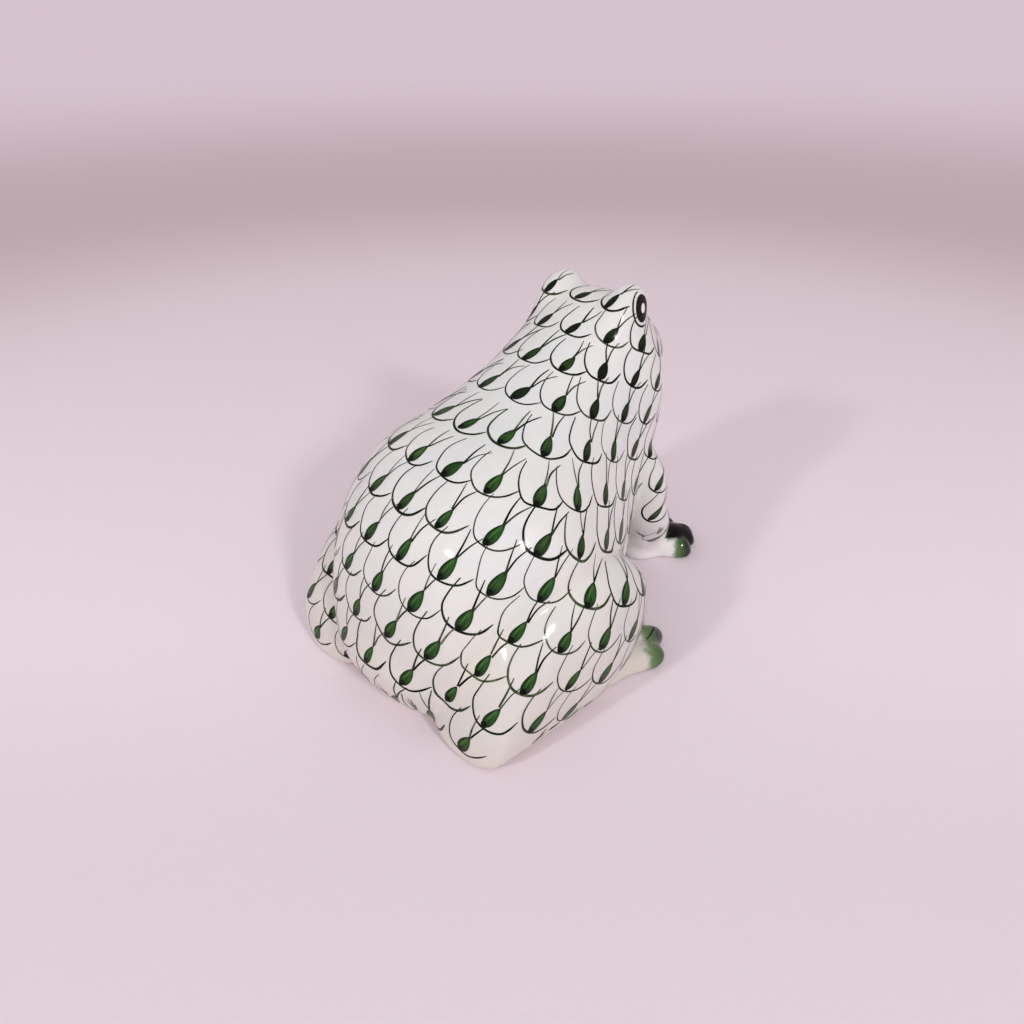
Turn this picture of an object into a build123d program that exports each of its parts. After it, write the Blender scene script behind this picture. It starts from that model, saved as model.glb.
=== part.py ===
from build123d import *
import os
from math import cos, radians, sin

# Sitting frog figurine in slip-cast porcelain. It faces -Y, its right side is -X and it stands on z = 0.
# Every moulding is its own solid. The smaller ones are trimmed to the larger ones that they are luted to.

# Torso and head, one hollow casting
TORSO_LENGTH = 112.0
TORSO_HEIGHT = 91.0
TORSO_WIDTH = 72.0
WALL = 3.5
VENT_BORE = 3.0

# Eyes, domes on the crown that run down and back into the head
EYE_SPACING = 21.0
EYE_WIDTH = 12.0
EYE_LENGTH = 17.0
EYE_HEIGHT = 30.0
EYE_LEAN = 10.0
EYE_TOP = 95.0

# Groove between the lips
MOUTH_WIDTH = 1.4
MOUTH_DEPTH = 0.8
MOUTH_LENGTH = 17.0
MOUTH_RISE_DEGREES = 9

# Haunches, from heel to knee
HAUNCH_LENGTH = 61.0
HAUNCH_HEIGHT = 42.0
HAUNCH_WIDTH = 27.0
HAUNCH_SPREAD = 64.0
HEEL_STEP = 2.0

# Hind feet
HIND_FOOT_LENGTH = 58.0
HIND_FOOT_WIDTH = 19.0
HIND_FOOT_HEIGHT = 9.0
HIND_FOOT_SETBACK = 12.0
HIND_TOE_WIDTH = 9.0

# Forelegs
FORELEG_HEIGHT = 52.0
FORELEG_SPREAD = 36.0
FORELEG_GIRTH = 15.0

# Forefeet
FOREFOOT_LENGTH = 26.0
FOREFOOT_HEIGHT = 9.5
FORE_TOE_WIDTH = 7.0

# Each torso station crosses it from back to belly.
# back: share of the length from the rump, share of the height; belly: the same two; share of the width
STATION_SHARES = [
    (0.00, 0.24, 0.072, -0.01, 0.54),
    (0.03, 0.42, 0.15, -0.02, 0.72),
    (0.10, 0.58, 0.32, -0.01, 0.94),
    (0.22, 0.712, 0.50, 0.03, 1.03),
    (0.36, 0.782, 0.66, 0.11, 0.86),
    (0.487, 0.86, 0.775, 0.24, 0.67),
    (0.60, 0.935, 0.835, 0.395, 0.60),
    (0.70, 1.00, 0.858, 0.53, 0.57),
    (0.79, 0.995, 0.886, 0.626, 0.44),
    (0.88, 0.90, 0.928, 0.68, 0.33),
]
RUMP_TIP_SHARES = (-0.008, 0.11)
NOSE_TIP_SHARES = (0.982, 0.79)
TORSO_FULLNESS_SHARE = 0.64
VENT_ALONG_SHARE = 0.30
MOUTH_HEIGHT_SHARE = 0.735

# Eye rings: share of the dome's height, share of its width and length.
# The root lies deeper in the head, at its own share of the spacing.
EYE_SHARES = [(0.30, 0.84), (0.58, 1.00), (0.84, 0.84)]
EYE_ALONG_SHARE = 0.752
EYE_ROOT_SHARE = 0.60

# Haunch stations: share of the length from the heel, middle as a share of the half spread,
# bottom and top as shares of the height, share of the width
HAUNCH_SHARES = [
    (0.06, 0.82, -0.05, 0.46, 0.93),
    (0.18, 0.87, -0.07, 0.72, 0.96),
    (0.36, 0.93, -0.07, 0.92, 0.97),
    (0.58, 0.99, -0.04, 1.00, 1.00),
    (0.77, 1.01, 0.05, 0.96, 0.90),
]
HAUNCH_HEEL_SHARES = (0.0, 0.84, 0.12)
HAUNCH_KNEE_SHARES = (1.03, 1.02, 0.48)
HAUNCH_FULLNESS_SHARE = 0.62

# Sole of the hind foot: share of the length from its heel end, middle as a share of the half spread,
# share of the height, share of the width
HIND_PAD_SHARES = [
    (0.12, 0.93, 0.80, 0.60),
    (0.40, 0.95, 1.00, 0.76),
    (0.65, 1.00, 0.90, 0.90),
    (0.82, 1.06, 0.72, 0.94),
    (0.93, 1.09, 0.58, 0.90),
]
# Toe roots and tips: share of the foot's length, share of the half spread
HIND_TOE_SHARES = [
    (0.55, 1.02, 0.955, 1.35),
    (0.55, 1.02, 1.07, 1.18),
    (0.55, 0.99, 1.085, 0.93),
]

# Foreleg rings: share of the height, middle as a share of the half spread, share of the torso's length,
# share of the girth
FORELEG_SHARES = [
    (0.98, 0.84, 0.728, 0.90),
    (0.87, 0.93, 0.754, 1.00),
    (0.73, 0.96, 0.779, 1.05),
    (0.58, 0.92, 0.805, 1.02),
    (0.42, 0.88, 0.840, 1.03),
    (0.29, 0.77, 0.884, 0.98),
    (0.15, 0.63, 0.930, 0.86),
    (0.02, 0.54, 0.958, 0.74),
]

# Sole and toes of the forefoot, in the same shares of its own length, half spread, height and toe width.
# Its heel lies at a share of the torso's length.
FOREFOOT_PAD_SHARES = [
    (0.10, 0.52, 0.66, 1.40),
    (0.35, 0.62, 0.94, 1.75),
    (0.60, 0.76, 0.88, 2.00),
    (0.80, 0.84, 0.66, 1.85),
]
FOREFOOT_HEEL_SHARE = 0.879
FORE_TOE_SHARES = [
    (0.25, 0.68, 0.64, 1.28),
    (0.25, 0.68, 1.00, 0.96),
    (0.25, 0.63, 1.01, 0.48),
]

# Toe rings: share of the toe's length, share of its width. Toes are lower than the foot's arch.
TOE_SHARES = [(0.20, 0.70), (0.50, 0.92), (0.78, 1.00)]
TOE_HEIGHT_SHARE = 0.68

# Rounding handle of an oval's quarter, as a share of its half axis. A true ellipse has this value.
ROUND_SHARE = 0.552
# Rounded ends start at this angle of their own ellipse
END_START_DEGREES = 30
END_RINGS = 4
# Extra rings between the stations
BODY_STEPS = 3
FOOT_STEPS = 2

RUMP_Y = TORSO_LENGTH / 2
X = Vector(1, 0, 0)
Y = Vector(0, 1, 0)
Z = Vector(0, 0, 1)


def oval(centre, across, up, half_width, half_height, fullness_share):
    """A closed oval of four quarters, squarer as its fullness grows."""
    side = across * half_width
    top = up * half_height
    quarters = []
    for first, second in ((side, top), (top, -side), (-side, -top), (-top, side)):
        quarters.append(
            Bezier(
                centre + first,
                centre + first + second * fullness_share,
                centre + second + first * fullness_share,
                centre + second,
            )
        )
    return Wire(quarters)


def between(rows, steps):
    """More rows, on smooth curves through the given ones."""
    finer = []
    padded = [rows[0]] + rows + [rows[-1]]
    for before, first, second, after in zip(padded, padded[1:], padded[2:], padded[3:]):
        for step in range(steps):
            t = step / steps
            row = []
            for p, q, r, s in zip(before, first, second, after):
                bend = (2 * p - 5 * q + 4 * r - s) * t**2 + (3 * q - p - 3 * r + s) * t**3
                row.append(q + ((r - p) * t + bend) / 2)
            finer.append(row)
    return finer + [rows[-1]]


def rounded_end(ring, tip):
    """Smaller and smaller ovals from a ring to its tip, on an elliptic curve."""
    centre, across, up, half_width, half_height, fullness_share = ring
    start = radians(END_START_DEGREES)
    sections = []
    for step in range(1, END_RINGS):
        angle = start + (radians(90) - start) * step / END_RINGS
        shrink = cos(angle) / cos(start)
        reach = (sin(angle) - sin(start)) / (1 - sin(start))
        middle = centre + (tip - centre) * reach
        sections.append(oval(middle, across, up, half_width * shrink, half_height * shrink, fullness_share))
    return sections + [Vertex(*tip)]


def closed_form(rings, first_tip=None, last_tip=None):
    """A solid through rings of (centre, across, up, half width, half height, fullness), flat where it has no tip."""
    first = rounded_end(rings[0], first_tip)[::-1] if first_tip else []
    last = rounded_end(rings[-1], last_tip) if last_tip else []
    return Solid.make_loft(first + [oval(*ring) for ring in rings] + last, ruled=True)


def along(share):
    """The place along the torso for a share of its length from the rump."""
    return RUMP_Y - share * TORSO_LENGTH


def above(level, shape):
    """What is left of a shape above a level."""
    reach = 2 * (TORSO_LENGTH + HAUNCH_LENGTH)
    return shape - Box(reach, reach, reach).moved(Location((0, 0, level - reach / 2)))


def torso(inset):
    """The torso and head, drawn in by an even inset."""
    rings = []
    for back_share, crown_share, belly_share, sole_share, width_share in between(STATION_SHARES, BODY_STEPS):
        back = Vector(0, along(back_share), crown_share * TORSO_HEIGHT)
        belly = Vector(0, along(belly_share), sole_share * TORSO_HEIGHT)
        half_height = (back - belly).length / 2 - inset
        half_width = width_share * TORSO_WIDTH / 2 - inset
        rings.append(((back + belly) / 2, X, (back - belly).normalized(), half_width, half_height, TORSO_FULLNESS_SHARE))
    rump = Vector(0, along(RUMP_TIP_SHARES[0]) - inset, RUMP_TIP_SHARES[1] * TORSO_HEIGHT)
    nose = Vector(0, along(NOSE_TIP_SHARES[0]) + inset, NOSE_TIP_SHARES[1] * TORSO_HEIGHT)
    return closed_form(rings, rump, nose)


def eye():
    """The dome of the frog's left eye with its root in the head."""
    top = Vector(EYE_SPACING / 2, along(EYE_ALONG_SHARE), EYE_TOP)
    root = Vector(EYE_ROOT_SHARE * EYE_SPACING / 2, along(EYE_ALONG_SHARE) + EYE_LEAN, EYE_TOP - EYE_HEIGHT)
    rings = []
    for height_share, size_share in between(EYE_SHARES, FOOT_STEPS):
        centre = top + (Y * EYE_LEAN - Z * EYE_HEIGHT) * (1 - height_share)
        rings.append((centre, X, Y, size_share * EYE_WIDTH / 2, size_share * EYE_LENGTH / 2, ROUND_SHARE))
    return closed_form(rings, root, top)


def hollow():
    """The space inside the casting, with a flat floor."""
    return above(WALL, torso(WALL))


def vent():
    """The firing vent through the sole."""
    return Cylinder(VENT_BORE / 2, 3 * WALL).moved(Location((0, along(VENT_ALONG_SHARE), 0)))


def mouth():
    """A shallow groove round the snout."""
    front = Location((0, along(NOSE_TIP_SHARES[0]), MOUTH_HEIGHT_SHARE * TORSO_HEIGHT), (MOUTH_RISE_DEGREES, 0, 0))
    return Box(TORSO_WIDTH, 2 * MOUTH_LENGTH, MOUTH_WIDTH).moved(front) - torso(MOUTH_DEPTH)


def body_shell(casting):
    """The hollow casting of torso and head with both eyes."""
    dome = eye()
    return casting + dome + mirror(dome, about=Plane.YZ) - hollow() - vent() - mouth()


def haunch():
    """The folded left thigh and shin with the heel, before trimming."""
    def place(length_share, middle_share, height_share):
        heel_y = RUMP_Y - HEEL_STEP
        return Vector(
            middle_share * HAUNCH_SPREAD / 2,
            heel_y - length_share * HAUNCH_LENGTH,
            height_share * HAUNCH_HEIGHT,
        )

    rings = []
    for length_share, middle_share, low_share, high_share, width_share in between(HAUNCH_SHARES, BODY_STEPS):
        centre = place(length_share, middle_share, (low_share + high_share) / 2)
        half_height = (high_share - low_share) * HAUNCH_HEIGHT / 2
        rings.append((centre, X, Z, width_share * HAUNCH_WIDTH / 2, half_height, HAUNCH_FULLNESS_SHARE))
    return above(0, closed_form(rings, place(*HAUNCH_HEEL_SHARES), place(*HAUNCH_KNEE_SHARES)))


def toe(root, tip, width, height):
    """One toe, a long low drop that is broadest near its tip."""
    run = tip - root
    across = run.normalized().cross(Z)
    rings = []
    for length_share, size_share in TOE_SHARES:
        rings.append((root + run * length_share, across, Z, size_share * width / 2, size_share * height, ROUND_SHARE))
    return closed_form(rings, root, tip)


def foot(start_y, length, height, spread, pad_width, pad_shares, toe_width, toe_shares):
    """A webbed left foot: a low sole that spreads into toes."""
    def place(length_share, side_share):
        return Vector(side_share * spread / 2, start_y - length_share * length, 0)

    rings = []
    for length_share, side_share, height_share, width_share in between(pad_shares, FOOT_STEPS):
        centre = place(length_share, side_share)
        rings.append((centre, X, Z, width_share * pad_width / 2, height_share * height, ROUND_SHARE))
    heel = place(0, pad_shares[0][1])
    ball = place(1, pad_shares[-1][1])
    shape = closed_form(rings, heel, ball)
    for root_share, root_side_share, tip_share, tip_side_share in toe_shares:
        root = place(root_share, root_side_share)
        tip = place(tip_share, tip_side_share)
        shape = shape + toe(root, tip, toe_width, TOE_HEIGHT_SHARE * height)
    return above(0, shape)


def hind_foot():
    """The long left hind foot, before trimming."""
    start_y = RUMP_Y - HIND_FOOT_SETBACK
    return foot(
        start_y, HIND_FOOT_LENGTH, HIND_FOOT_HEIGHT, HAUNCH_SPREAD,
        HIND_FOOT_WIDTH, HIND_PAD_SHARES, HIND_TOE_WIDTH, HIND_TOE_SHARES,
    )


def foreleg():
    """The left upper arm and forearm, before trimming."""
    rings = []
    for height_share, side_share, length_share, girth_share in between(FORELEG_SHARES, FOOT_STEPS):
        centre = Vector(side_share * FORELEG_SPREAD / 2, along(length_share), height_share * FORELEG_HEIGHT)
        half_girth = girth_share * FORELEG_GIRTH / 2
        rings.append((centre, X, -Y, half_girth, half_girth, ROUND_SHARE))
    return closed_form(rings)


def forefoot():
    """The left front foot, before trimming."""
    start_y = along(FOREFOOT_HEEL_SHARE)
    return foot(
        start_y, FOREFOOT_LENGTH, FOREFOOT_HEIGHT, FORELEG_SPREAD,
        FORE_TOE_WIDTH, FOREFOOT_PAD_SHARES, FORE_TOE_WIDTH, FORE_TOE_SHARES,
    )


# Larger mouldings first. Each smaller one is trimmed to those before it.
casting = above(0, torso(0))
limbs = {"haunch": haunch(), "hind_foot": hind_foot(), "foreleg": foreleg(), "forefoot": forefoot()}
nodes = {"body_shell": body_shell(casting)}
placed = [casting]
for name, limb in limbs.items():
    for larger in placed:
        limb = limb - larger
    placed.append(limb)
    nodes[f"{name}_left"] = limb
    nodes[f"{name}_right"] = mirror(limb, about=Plane.YZ)

# The figurine is centred over the origin and stands on z = 0
os.makedirs("parts", exist_ok=True)
box = Compound(list(nodes.values())).bounding_box()
home = Location((-box.center().X, -box.center().Y, -box.min.Z))
for name, shape in nodes.items():
    export_step(shape.moved(home), f"parts/{name}.step")
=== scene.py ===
import sys

import math
import random

import bmesh
import bpy
import numpy as np
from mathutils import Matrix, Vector
from mathutils.bvhtree import BVHTree


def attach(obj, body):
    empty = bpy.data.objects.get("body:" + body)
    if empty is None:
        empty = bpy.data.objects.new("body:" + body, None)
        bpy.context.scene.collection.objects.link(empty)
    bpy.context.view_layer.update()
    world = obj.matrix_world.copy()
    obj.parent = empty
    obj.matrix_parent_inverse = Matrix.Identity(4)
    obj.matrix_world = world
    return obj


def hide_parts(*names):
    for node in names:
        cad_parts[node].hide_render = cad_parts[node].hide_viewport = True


# Sitting porcelain frog. The mouldings share one glaze, and the brushwork lies on it as thin paint.
# It faces -Y and its right side is -X. Everything is in metres.
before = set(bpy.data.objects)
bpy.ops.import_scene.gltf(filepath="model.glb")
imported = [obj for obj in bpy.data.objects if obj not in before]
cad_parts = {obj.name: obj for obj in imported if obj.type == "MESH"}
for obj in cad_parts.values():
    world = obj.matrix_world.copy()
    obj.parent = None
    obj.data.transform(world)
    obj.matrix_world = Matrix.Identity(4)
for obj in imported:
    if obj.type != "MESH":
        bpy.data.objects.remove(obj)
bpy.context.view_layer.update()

MM = 0.001
SEED = 11
dice = random.Random(SEED)

# Sides of the frog, the right one first. Eyes, nostrils and what fills the creases are given for the right.
SIDES = (-1, 1)

# Camera, read from the photograph's perspective
CAMERA_TARGET = Vector((-0.4, 10.9, 37.1)) * MM
CAMERA_AZIMUTH = 222.4
CAMERA_ELEVATION = 32.6
CAMERA_DISTANCE = 211 * MM
CAMERA_NEAR_LIMIT = 10 * MM
SENSOR = 36.0
FRAME_PIXELS = 1024
FOCAL_PIXELS = 769

# Lamps: degrees to the right of the camera, elevation, power, size, distance
LAMPS = [(28, 31, 2.55, 110 * MM, 0.9), (-44, 31, 1.95, 80 * MM, 0.9)]
SKY_COLOUR = (1, 0.985, 0.99, 1)
SKY_STRENGTH = 0.54

# Paper sweep round the object: radius and height of its profile, whose corners are cut twice
PAPER_PROFILE = [
    (690 * MM, 0), (730 * MM, 2 * MM), (765 * MM, 14 * MM), (790 * MM, 40 * MM), (805 * MM, 90 * MM),
    (812 * MM, 200 * MM), (815 * MM, 600 * MM),
]
PAPER_SIDES = 120
CORNER_SHARES = (0.25, 0.75)
CORNER_ROUNDS = 2

# How the paper changes: painted light from behind the object to the camera's side of it, from lit to a
# painted glow, from the far floor to the painted shade of the fold, and from the fold up the wall. Then its
# fibres and its gloss.
PAINTED_FLOOR_LIGHT_FADE = (5 * MM, 100 * MM)
PAINTED_GLOW_FADE = (260 * MM, 460 * MM)
PAINTED_FOLD_SHADE_FADE = (250 * MM, 660 * MM)
PAINTED_GLOW_WALL_FADE = (0, 110 * MM)
FIBRE = 1.5 * MM
FIBRE_DETAIL = 4.0
FIBRE_STRENGTH = 0.12
FIBRE_DEPTH = 0.05 * MM
PAPER_ROUGHNESS = 0.85
PAPER_GLOSS = 0.2

# Skin: grain, rounds of smoothing for its form and for the borders of the mouldings, and the plug in the vent
SKIN_VOXEL = 0.6 * MM
SMOOTHING_SHARE = 0.5
SMOOTHING_ROUNDS = 14
HEAD_SMOOTHING_ROUNDS = 45
HEAD_SMOOTHING_LEVELS = (72 * MM, 84 * MM)
BORDER_ROUNDS = 12
VENT_PLACE = Vector((0, 27.8, 0)) * MM
VENT_PLUG_RADIUS = 2.2 * MM
VENT_PLUG_BOTTOM = 1.8 * MM
VENT_PLUG_TOP = 4.5 * MM
VENT_PLUG_SIDES = 24

# Glaze. Dark paint soaks up more of the gloss than the white body.
GLAZE_INDEX = 1.5
PORCELAIN_GLOSS = 0.5
PAINT_GLOSS = 0.1
DULL_PATCH = 9 * MM
ROUGHNESS_FADE = (0.0, 2.5)
RIPPLE = 3.5 * MM
RIPPLE_DETAIL = 1.0
RIPPLE_DEPTH = 0.03 * MM

# Where the glaze pools in hollows and at the heels, and how much of its colour shows
POOL_ROUNDS = 14
POOL_DEPTH = 0.018 * MM
FOOT_POOL_LEVELS = (12 * MM, 0)
POOL_STRENGTH = 0.32

# White body: clouds in it, cream glaze tone with painted shade low down behind and painted light low down in
# front, given along Y and by level
CLOUD = 22 * MM
CLOUD_DETAIL = 3.0
CLOUD_FADE = (0.35, 0.7)
CREAM_AND_SHADE_FROM = (-32 * MM, 12 * MM)
CREAM_AND_SHADE_LEVELS = (60 * MM, 8 * MM)
CREAM_AND_SHADE_STRENGTH = 0.52
PAINTED_LIGHT_FROM = (-27 * MM, -41 * MM)
PAINTED_LIGHT_LEVELS = (46 * MM, 12 * MM)

# Iron specks under the glaze: spacing, patches that hold them, size and edge in shares of their spacing
SPECK_SPACING = 9 * MM
SPECK_PATCH = 14 * MM
SPECK_PATCH_FADE = (0.62, 0.9)
SPECK_SIZE_SHARE = 0.05
SPECK_EDGE_SHARES = (0.012, 0.0)
SPECK_STRENGTH = 0.8

# Painted toes: how far behind the foremost tip the wash starts and is full, and where the forefeet turn black
TOE_TURN_DEGREES = 40
WASH_REACH = {"hind_foot": (11 * MM, -1 * MM), "forefoot": (12 * MM, 4.5 * MM)}
WASH_STREAK = 2.2 * MM
WASH_DETAIL = 3.0
WASH_UNEVENNESS = 0.5
WASH_FADE = (0.12, 0.42)
DEEP_WASH_FADE = (0.30, 0.85)
BLACK_REACH = 16 * MM
BLACK_GAP_PLACE = Vector((18.5, -48.3, 0)) * MM
BLACK_GAP_NORMAL = Vector((-0.81, -0.59, 0))
BLACK_BLUR = 1.2 * MM
TOE_GAP_PLACE = Vector((-38.4, -4.6, 5.0)) * MM
TOE_GAP_LINE = [(0, -2.4 * MM), (0.2 * MM, 1.0 * MM), (0.0, 4.6 * MM)]

# Brushed paint: blots in the lines, streaks along a drop, and where a drop darkens along and across it
STREAK_FADE = (0.3, 0.7)
INK_BLOT = 2.2 * MM
INK_UNEVENNESS = 0.9
INK_GREEN_FADE = (0.0, 0.4)
INK_BLACK_FADE = (0.3, 0.8)
FULL_LOAD = 1.2
LEAF_STREAKS = (0.7, 2.6, 40)
LEAF_FOOT_FADE = (0.56, 0.08)
LEAF_TIP_FADE = (0.72, 0.98)
LEAF_LEFT_FADE = (-0.15, -0.95)
LEAF_RIGHT_FADE = (0.55, 1.0)
LEAF_RIGHT_STRENGTH = 0.7
LEAF_DARK_STRENGTH = 0.92
THICK_PAINT_BLOT = 1.2 * MM

# Colours as they look on a screen, 0 to 255
WHITE = (225, 226, 220)
COOL_WHITE = (218, 221, 219)
# Painted light: a whiter white on the legs low down in front
PAINTED_LIGHT_WHITE = (244, 244, 241)
# Cream glaze tone, darkened as painted shade low down behind
CREAM_AND_SHADE = (194, 188, 174)
POOLED_GLAZE = (228, 219, 196)
SPECK = (120, 104, 84)
WASH_GREEN = (70, 106, 54)
PALE_WASH_GREEN = (108, 138, 86)
DEEP_WASH_GREEN = (17, 38, 15)
TOE_BLACK = (12, 14, 11)
DRY_INK = (118, 124, 100)
GREEN_INK = (56, 68, 44)
BLACK_INK = (19, 27, 17)
LEAF_GREEN = (32, 69, 28)
PALE_LEAF_GREEN = (71, 108, 55)
DARK_LEAF_GREEN = (17, 34, 15)
LEAF_BLACK = (17, 25, 15)
BLOT_BLACKS = ((9, 12, 9), (16, 22, 14))
EYE_BLACKS = ((14, 14, 13), (30, 30, 26))
EYE_WHITES = ((236, 234, 228), (228, 226, 220))
# Paper: painted light behind the object and painted shade in front, then a painted glow far off with painted
# shade in the fold
PAPER_PAINTED_LIGHT_BEHIND = (246, 234, 240)
PAPER_PAINTED_SHADE_IN_FRONT = (231, 219, 227)
PAPER_FIBRE = (210, 196, 202)
PAPER_GLOW_FAR = (216, 198, 205)
PAPER_GLOW_FOLD_SHADE = (188, 168, 174)
PAPER_GLOW_WALL = (214, 195, 207)

# Scales lie in level rows that dip a little to the front. Their step grows from the crown downwards.
# A row starts in the middle of the back: the way to the rear counts by its weight against the way aside.
ROW_DIP_DEGREES = 21
RISE = Vector((0, -math.sin(math.radians(ROW_DIP_DEGREES)), math.cos(math.radians(ROW_DIP_DEGREES))))
FIRST_LEVEL = 89.0 * MM
LAST_LEVEL = -19.0 * MM
ROW_STEPS = (8.4 * MM, 10.1 * MM)
SCALE_STEPS = (9.6 * MM, 12.2 * MM)
STEP_GROWTH = 45 * MM
CLOSEST_SHARE = 0.62
REARWARD_WEIGHT = 0.2

# Places that stay white
GROUND_MARGIN = 3.2 * MM
UNDERSIDE_NORMAL = -0.6
THROAT_NORMAL = -0.5
THROAT_HALF_WIDTH = 24 * MM
THROAT_TOP = 70 * MM
NOSE = Vector((0, -50, 72)) * MM
NOSE_MARGIN = 8 * MM
EYE_TOP_BARE = 91.5 * MM
EYE_MARGIN = 6.5 * MM

# Brush: height of the paint's layers above the skin, steps over the skin, half widths of strokes, fineness
LIFT = 0.04 * MM
EYE_LIFT = 0.056 * MM
LEAF_LIFT = 0.064 * MM
TOP_LIFT = 0.088 * MM
STRIDE = 2.5 * MM
STRIDE_MISS = 0.9 * MM
SEGMENT = 0.7 * MM
LINE_HALF_WIDTH = 0.27 * MM
WHISKER_HALF_WIDTH = 0.23 * MM
TUFT_HALF_WIDTH = 0.17 * MM
LID_HALF_WIDTH = 0.28 * MM
DROP_ROWS = 12
DROP_COLUMNS = 6
RING_STEPS = 24

# Strokes in shares of their width and length: width at the start and where it is full, width at the blunt end
# and how fast it drops to that, how much a hair line thins, how round a drop's foot is and how sharp its tip
ARC_SWELLING = (0.45, 0.55)
TOE_GAP_SWELLING = (0.4, 0.6)
LID_SWELLING = (0.5, 0.3)
BLUNT_END_SHARE = 0.35
BLUNT_END_SLOPE = 6
HAIR_THINNING_SHARE = 0.6
DROP_ROUNDNESS = 2.4
DROP_SHARPNESS = 0.85

# One scale in shares of its step, from the lowest point of its curve: (right, up)
ARC_SHARES = [
    (-0.26, 0.96), (-0.40, 0.68), (-0.45, 0.38), (-0.31, 0.10), (0.00, -0.01), (0.28, 0.05), (0.50, 0.27),
]
DROP_FOOT_SHARES = (-0.10, 0.03)
DROP_TIP_SHARES = (0.10, 0.50)
DROP_HALF_WIDTH_SHARE = 0.122
LEFT_WHISKER_SHARES = [(0.09, 0.46), (0.12, 0.76), (0.18, 1.04)]
RIGHT_WHISKER_SHARES = [(0.10, 0.46), (0.24, 0.74), (0.43, 0.98)]

# The black blot at the foot of a drop: where it starts, as seen from the drop's foot, and its reach
BLOT_START = (-0.3 * MM, -0.1 * MM)
BLOT_REACH = (0.75 * MM, 1.4 * MM)
BLOT_HALF_WIDTH = 0.78 * MM

# Chance in the brushwork: turns in degrees, factors on sizes and widths, loads of paint, misses of the hand
SCALE_TURNS = (-6, 6)
SCALE_SIZES = (0.93, 1.08)
HAND_MISS_SHARE = 0.015
ARC_WIDTHS = (0.7, 1.35)
ARC_LOADS = (0.25, 1)
WHISKER_WIDTHS = (0.75, 1.25)
WHISKER_LOADS = (0.2, 0.9)
DROP_WIDTHS = (0.85, 1.12)

# Drops are nearly black on the head and turn green on the way down
GREEN_START = -0.3
GREEN_GROWTH = 2.2
GREEN_CHANCE = (-0.25, 0.45)

# Scales on the flat of the snout, their tips towards the crown
SNOUT_SCALES = [
    Vector((-4.6, -40, 84)) * MM, Vector((4.6, -40, 84)) * MM,
    Vector((-9.0, -33, 87)) * MM, Vector((0, -33, 88)) * MM, Vector((9.0, -33, 87)) * MM,
]
SNOUT_RISE = Vector((0, 0.95, 0.31))
SNOUT_SHARE = 0.85
SNOUT_HALF_WIDTH = 12.5 * MM
SNOUT_BOTTOM = 77 * MM
SNOUT_BACK = -25 * MM

# Tufts of hair lines in the creases: place, turn, length. The slanted leaves beside them are given alike.
TUFTS = [
    (Vector((-18.5, -30.0, 15.0)) * MM, -50, 6 * MM), (Vector((-22.0, -32.0, 17.0)) * MM, -20, 6 * MM),
    (Vector((-43.8, 15.0, 7.0)) * MM, 10, 6 * MM), (Vector((-43.5, 25.0, 4.5)) * MM, 25, 6 * MM),
    (Vector((-42.3, 36.0, 4.5)) * MM, 30, 6 * MM), (Vector((-40.5, 47.0, 4.5)) * MM, 30, 6 * MM),
    (Vector((-4.0, 62.0, 5.5)) * MM, -10, 6 * MM), (Vector((-13.0, 60.0, 6.0)) * MM, -15, 7 * MM),
]
SLANTED_LEAVES = [
    (Vector((-42.9, 30.5, 6.5)) * MM, 60, 3.4 * MM), (Vector((-41.5, 42.0, 6.5)) * MM, 62, 3.6 * MM),
]
SLANTED_LEAF_SHARE = 0.17
SLANTED_LEAF_GREENS = (0.2, 0.8)
TUFT_FAN_DEGREES = 30
TUFT_STROKES = 4

# One hair of a tuft in shares of its reach: how far aside it starts, bends and ends, and how far up it ends.
# Then the chance in its turn, in its reach and start as shares of the tuft's length, in its width and load.
TUFT_START_SHARE = 0.2
TUFT_BEND_SHARE = 0.6
TUFT_END_SHARE = 1.1
TUFT_STRETCH = 1.05
TUFT_TURNS = (-4, 4)
TUFT_REACHES = (0.55, 1)
TUFT_RISES = (0, 0.15)
TUFT_WIDTHS = (0.8, 1.3)
TUFT_LOADS = (0.1, 0.8)

# Eyes on the outer side of their domes, and nostrils
EYE_PLACE = Vector((-15.6, -22.0, 89.4)) * MM
EYE_HALF_WIDTH = 2.9 * MM
EYE_HALF_HEIGHT = 3.6 * MM
PUPIL_HALF_WIDTH = 0.9 * MM
PUPIL_HALF_HEIGHT = 1.25 * MM
LID_GAP = 0.95 * MM
LID_FROM_DEGREES = 25
LID_TO_DEGREES = 215
NOSTRIL_PLACE = Vector((-5.5, -49.5, 79.0)) * MM
NOSTRIL_HALF_HEIGHT = 1.5 * MM
NOSTRIL_HALF_WIDTH = 0.6 * MM
NOSTRIL_LEAN = 0.8 * MM
NOSTRIL_LOAD = 0.2


def new_object(name, data):
    """A linked object for a mesh, lamp or camera."""
    made = bpy.data.objects.new(name, data)
    bpy.context.scene.collection.objects.link(made)
    return made


def bearing(azimuth, elevation):
    """Unit vector from the object towards a place seen at these angles."""
    turn = math.radians(azimuth)
    rise = math.radians(elevation)
    return Vector((math.sin(turn) * math.cos(rise), -math.cos(turn) * math.cos(rise), math.sin(rise)))


def on_side(place, side):
    """A place that is given for the right side, on either side."""
    return Vector((-side * place.x, place.y, place.z))


def place_camera():
    """The camera of the photograph."""
    data = bpy.data.cameras.new("camera")
    data.sensor_width = SENSOR
    data.lens = SENSOR * FOCAL_PIXELS / FRAME_PIXELS
    data.clip_start = CAMERA_NEAR_LIMIT
    camera = new_object("camera", data)
    back = bearing(CAMERA_AZIMUTH, CAMERA_ELEVATION)
    camera.location = CAMERA_TARGET + back * CAMERA_DISTANCE
    camera.rotation_euler = back.to_track_quat("Z", "Y").to_euler()
    bpy.context.scene.camera = camera


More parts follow.
